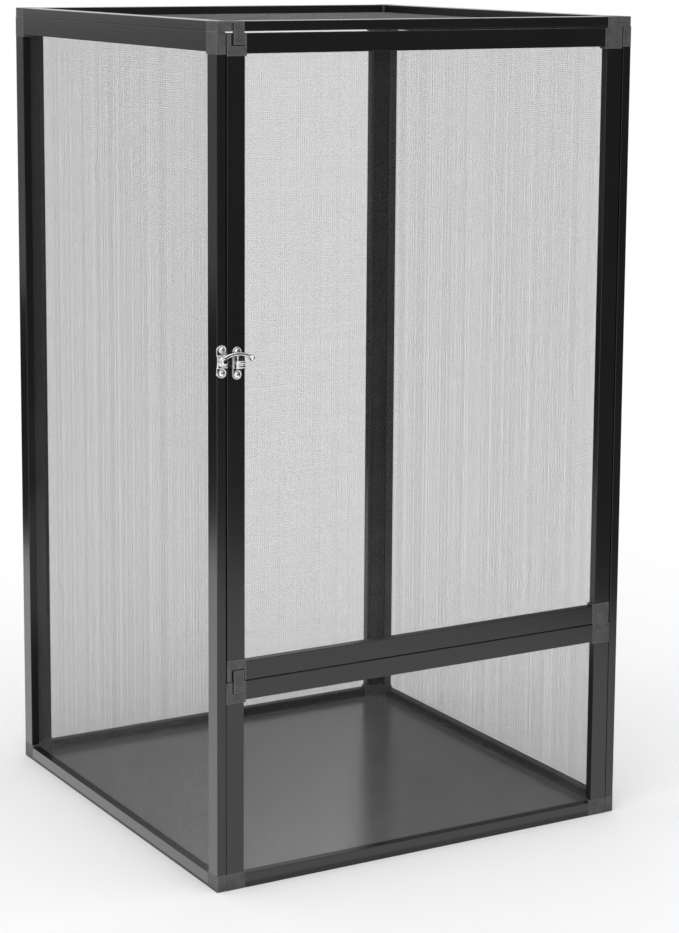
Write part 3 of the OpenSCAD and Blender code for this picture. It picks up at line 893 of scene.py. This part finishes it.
def armPoint(t):
    # along the arch from the hub, t = 0, to the finger, t = 1
    s = hookShape
    sag = s["armRise"] - s["armBase"]
    radius = ((s["armSpan"] / 2) ** 2 + sag ** 2) / (2 * sag)
    half = math.asin(s["armSpan"] / 2 / radius)
    a = half * (2 * t - 1)
    centre = Vector((s["armSpan"] / 2, s["armRise"] - radius))
    return centre + radius * Vector((math.sin(a), math.cos(a))), Vector((math.cos(a), -math.sin(a)))


def squared(value, power):
    return math.copysign(abs(value) ** power, value)


def archedArm():
    # a squared oval run along the arch: flat in front, round at the edges
    s = hookShape
    steps, around = s["armSteps"], s["armAround"]
    points = []
    for i in range(steps + 1):
        t = i / steps
        at, along = armPoint(t)
        side = Vector((-along.y, along.x))
        half = (s["armW"] + (s["armTip"] - s["armW"]) * t) / 2
        for k in range(around):
            a = 2 * math.pi * k / around
            p = at + side * (squared(math.cos(a), s["armRound"]) * half)
            out = squared(math.sin(a), s["armRound"]) * s["thick"] / 2
            points.append((p.x, p.y, s["low"] + s["thick"] / 2 + out))
    ends = [tuple(range(around)), tuple(range(steps * around, (steps + 1) * around))]
    return fromFaces("arm", points, ends + bandFaces(steps + 1, around))


def fingerEnd():
    # a collar and a ball on the arm's end
    s = hookShape
    collar = [(s["collarR"] * math.sin(a), -s["neck"] - s["collarH"] * math.cos(a))
              for a in turnSteps(0, s["collarTo"], s["collarSteps"])]
    ball = [(s["ballR"] * math.sin(a), s["ballOut"] - s["ballH"] * math.cos(a))
            for a in turnSteps(s["ballFrom"], 180, s["ballSteps"])]
    mesh = lathe(collar + ball, s["fingerAround"])
    at, along = armPoint(1.0)
    turn = Vector((along.x, along.y, 0)).to_track_quat("Z", "Y").to_matrix().to_4x4()
    mesh.transform(Matrix.Translation((at.x, at.y, s["low"] + s["thick"] / 2)) @ turn)
    return mesh


def swingHook():
    s = hookShape
    low, high = s["low"], s["low"] + s["thick"]
    hub = lathe(rounded(rivetShape["shankR"] + s["boreGap"], s["hubR"], low, high, s["hubEase"]))
    tabX = catchX + catchShape["lugX"]
    tab = block(
        tabX - s["tabW"] / 2, tabX + s["tabW"] / 2,
        catchShape["slotFloor"] + s["tabLift"], s["armRise"] - s["tabDrop"],
        low + s["tabInset"], high - s["tabInset"], s["tabEase"],
    )
    arm = archedArm()
    finger = fingerEnd()
    for part in (arm, finger):
        smooth(part, angle=50)
    smooth(hub, angle=40)
    return onFront(joined("swingHook", [hub, tab, arm, finger]))


# screws: a raised head with a cross recess, set out by a node tree

screwShape = {
    "headR": 2.7 * mm,
    "crown": 1.1 * mm,
    "crownSteps": 7,
    "sunk": 0.1 * mm,      # the crown begins this far below the plate's face
    "shankR": 1.3 * mm,
    "shankL": 6 * mm,
    "around": 32,
    "recess": 1.4 * mm,    # half the length of the cross
    "recessDeep": 0.7 * mm,
    "blade": 0.5 * mm,
    "cutOver": 1 * mm,     # what the cutter stands above the head
    "cutEase": 0.05 * mm,
    "hookTurns": (0.54, 1.53),     # how the first screw is turned, and how much further the second
    "catchTurns": (0.21, 0.595),
}


def crossScrew():
    s = screwShape
    flat = latchPlate["thick"]
    low = flat - (s["headR"] - s["shankR"])
    shank = [(0, -s["shankL"]), (s["shankR"], -s["shankL"]), (s["shankR"], low)]
    crown = [(s["headR"] * math.cos(a), flat - s["sunk"] + s["crown"] * math.sin(a))
             for a in turnSteps(0, 90, s["crownSteps"])]
    head = lathe(shank + crown, s["around"])
    bottom, top = flat - s["recessDeep"], flat + s["crown"] + s["cutOver"]
    cutters = []
    for a, b in (s["blade"] / 2, s["recess"]), (s["recess"], s["blade"] / 2):
        cutter = bpy.data.objects.new("cutter", block(-a, a, -b, b, bottom, top, s["cutEase"]))
        scene.collection.objects.link(cutter)
        cutters.append(cutter)

    def cutRecess(scratch):
        for cutter in cutters:
            step = scratch.modifiers.new("cut", "BOOLEAN")
            step.object = cutter
            step.operation = "DIFFERENCE"
            step.solver = "EXACT"

    mesh = baked(head, cutRecess)
    for cutter in cutters:
        bpy.data.objects.remove(cutter)
    smooth(mesh, angle=35)
    return mesh


def screwTree():
    kinds = dict.fromkeys(["Spacing", "First Turn", "Turn Step"], "Float")
    kinds.update({"Screw": "Object", "Finish": "Material"})
    graph, given = startTree("screwRow", kinds)
    row = graph.node("GeometryNodeMeshLine", inputs={
        "Count": 2,
        "Start Location": vector(graph, Y=given["Spacing"] * -0.5),
        "Offset": vector(graph, Y=given["Spacing"]),
    })
    index = graph.node("GeometryNodeInputIndex")
    placed = graph.node("GeometryNodeInstanceOnPoints", inputs={
        "Points": row,
        "Instance": graph.node("GeometryNodeObjectInfo", inputs={"Object": given["Screw"]}, out="Geometry"),
        "Rotation": vector(graph, Z=given["First Turn"] + index * given["Turn Step"]),
    })
    return endTree(graph, placed, given["Finish"])


def addScrews():
    screw = bpy.data.objects.new("screwPattern", crossScrew())
    scene.collection.objects.link(screw)
    tree = screwTree()
    for plate, x, z in ("hook", 0.0, 0.0), ("catch", catchX, catchDrop):
        firstTurn, turnStep = screwShape[plate + "Turns"]
        mesh = grown(tree, {
            "Screw": screw,
            "Spacing": latchPlate["height"] - 2 * latchPlate["screwEnd"],
            "First Turn": firstTurn,
            "Turn Step": turnStep,
            "Finish": finishes["latch_screw"],
        })
        addPiece(plate + "Screws", onFront(mesh, x, z), "latch_" + plate + "_screws")
    bpy.data.objects.remove(screw)


addScrews()
addPiece("hookPlate", hookPlate(), "latch_hook_plate")
addPiece("swingHook", swingHook(), "latch_hook")
addPiece("pivotRivet", pivotRivet(), "latch_rivet")
addPiece("catchPlate", catchPlate(), "latch_catch")
print("latch made about", [round(v, 4) for v in pivot])


# studio: a pale floor, soft lamps and cards that only reflections see

def card(name, centre, size, facing, material):
    x, y = size[0] / 2, size[1] / 2
    mesh = fromFaces(name, [(-x, -y, 0), (x, -y, 0), (x, y, 0), (-x, y, 0)], [(0, 1, 2, 3)])
    turn = Vector(facing).to_track_quat("Z", "Y").to_matrix().to_4x4()
    mesh.transform(Matrix.Translation(centre) @ turn)
    mesh.materials.append(material)
    made = bpy.data.objects.new(name, mesh)
    scene.collection.objects.link(made)
    return made


room = {
    "floor": 0.95,
    "floorRough": 0.9,
    "floorSpan": 40,
    "ambient": 0.74,       # light that the white room casts; it is seen as full white
}


def paleFloor():
    material, graph = startFinish("paleFloor")
    grey = room["floor"]
    endFinish(graph, {
        "Base Color": (grey, grey, grey, 1), "Roughness": room["floorRough"], "Specular IOR Level": 0.0,
    })
    span = room["floorSpan"]
    card("floor", (0, 0, 0), (span, span), (0, 0, 1), material)


def whiteWorld():
    world = bpy.data.worlds.new("whiteRoom")
    scene.world = world
    world.use_nodes = True
    world.node_tree.nodes.clear()
    graph = Graph(world.node_tree)
    rays = graph.node("ShaderNodeLightPath").beside()
    shown = rays["Is Camera Ray"]
    for kind in ("Is Glossy Ray", "Is Transmission Ray"):
        shown = shown.math("MAXIMUM", shown, rays[kind])
    level = shown * (1 - room["ambient"]) + room["ambient"]
    back = graph.node("ShaderNodeBackground", inputs={"Color": (1, 1, 1, 1), "Strength": level})
    graph.node("ShaderNodeOutputWorld", inputs={"Surface": back})


cards = {
    "width": 5.0,
    "lift": 2 * mm,        # of the bright cards above the floor
    "glowReach": 1.6,      # how far they reach from the cage
    "frontGlow": 1.25,
    "sideGlow": 1.52,
    "frontAzimuth": 60,    # the dark card in front
    "frontFar": 0.85,
    "frontTop": 0.95,
    "frontW": 1.75,
    "frontAside": -0.38,   # how far it is moved along itself
    "sideAzimuth": -155,   # the dark card beside the cage, with a grey one above it
    "sideFar": 1.13,
    "sideDark": 0.37,      # height at which the grey one begins
    "sideTop": 0.78,
    "sideGrey": 0.37,
    "rightGrey": 0.24,     # the grey card that the floor sheet's right part mirrors
    "rightGap": 0.07,
    "rightTop": 0.4,
    "rightSpan": (-0.3, 0.35),
}


def glowFinish(name, level):
    material, graph = startFinish(name)
    glow = graph.node("ShaderNodeEmission", inputs={"Color": (1, 1, 1, 1), "Strength": level})
    graph.node("ShaderNodeOutputMaterial", inputs={"Surface": glow})
    return material


def reflectionCard(name, place, size, facing, level):
    # seen in reflections only
    made = card(name, place, size, facing, glowFinish(name, level))
    for ray in ("camera", "diffuse", "transmission", "shadow"):
        setattr(made, "visible_" + ray, False)


def standingCard(name, start, azimuth, far, low, high, level, width, aside=0.0):
    a = math.radians(azimuth)
    out = Vector((math.sin(a), -math.cos(a), 0))
    along = Vector((math.cos(a), math.sin(a), 0))
    place = Vector(start) + out * far + along * aside + Vector((0, 0, (low + high) / 2))
    reflectionCard(name, place, (width, high - low), -out, level)


def addCards():
    s = cards
    front, left, right = cadBox[0].y, cadBox[0].x, cadBox[1].x
    black = 0.0
    before = (0, front, 0), s["frontAzimuth"], s["frontFar"]
    standingCard("frontCard", *before, 0, s["frontTop"], black, s["frontW"], s["frontAside"])
    reach = s["glowReach"]
    up = (0, 0, 1)
    reflectionCard("frontGlow", (0, front - reach / 2, s["lift"]), (s["width"], reach), up, s["frontGlow"])
    beside = (left, 0, 0), s["sideAzimuth"], s["sideFar"]
    standingCard("sideCard", *beside, 0, s["sideDark"], black, s["width"])
    standingCard("sideGrey", *beside, s["sideDark"], s["sideTop"], s["sideGrey"], s["width"])
    near, far = s["rightSpan"]
    centre = (right + s["rightGap"], (near + far) / 2, s["rightTop"] / 2)
    reflectionCard("rightGrey", centre, (far - near, s["rightTop"]), (-1, 0, 0), s["rightGrey"])
    reflectionCard("sideGlow", (left - reach / 2, 0, s["lift"]), (reach, s["width"]), up, s["sideGlow"])


lamps = {
    "boxPlace": (-2.4, -2.2, 2.2),
    "boxAim": (0, 0, 0.45),
    "boxSize": (1.6, 1.6),
    "boxWatts": 6,
    "sun": 1.1,
    "sunSpread": 70,
    "sunTurn": (18, -14),
}


def addLamps():
    s = lamps
    softbox = bpy.data.lights.new("frontBox", "AREA")
    softbox.shape = "RECTANGLE"
    softbox.size, softbox.size_y = s["boxSize"]
    softbox.energy = s["boxWatts"]
    made = bpy.data.objects.new("frontBox", softbox)
    made.location = s["boxPlace"]
    made.rotation_mode = "QUATERNION"
    made.rotation_quaternion = (Vector(s["boxAim"]) - Vector(s["boxPlace"])).to_track_quat("-Z", "Y")
    scene.collection.objects.link(made)

    overhead = bpy.data.lights.new("overhead", "SUN")
    overhead.angle = math.radians(s["sunSpread"])
    overhead.energy = s["sun"]
    made = bpy.data.objects.new("overhead", overhead)
    made.rotation_euler = (*map(math.radians, s["sunTurn"]), 0)
    scene.collection.objects.link(made)


# camera at the photograph's place
view = {
    "size": (679, 933),
    "focal": 2478.0,           # in pixels
    "centre": (339.5, 326.0),  # principal point
    "place": (-1.227, -2.165, 0.872),
    "azimuth": 30.185,
    "elevation": -8.88,
    "roll": 0.37,
    "sensor": 36,
}


def addCamera():
    s = view
    lens = bpy.data.cameras.new("camera")
    longSide = max(s["size"])
    lens.sensor_width = s["sensor"]
    lens.lens = s["focal"] * s["sensor"] / longSide
    lens.shift_x = (s["size"][0] / 2 - s["centre"][0]) / longSide
    lens.shift_y = (s["centre"][1] - s["size"][1] / 2) / longSide
    a, e, roll = (math.radians(s[angle]) for angle in ("azimuth", "elevation", "roll"))
    ahead = Vector((math.sin(a) * math.cos(e), math.cos(a) * math.cos(e), math.sin(e)))
    turn = ahead.to_track_quat("-Z", "Y").to_matrix().to_4x4() @ Matrix.Rotation(roll, 4, "Z")
    made = bpy.data.objects.new("camera", lens)
    made.matrix_world = Matrix.Translation(s["place"]) @ turn
    scene.collection.objects.link(made)
    scene.camera = made


paleFloor()
addCards()
addLamps()
whiteWorld()
addCamera()
print("studio ready")
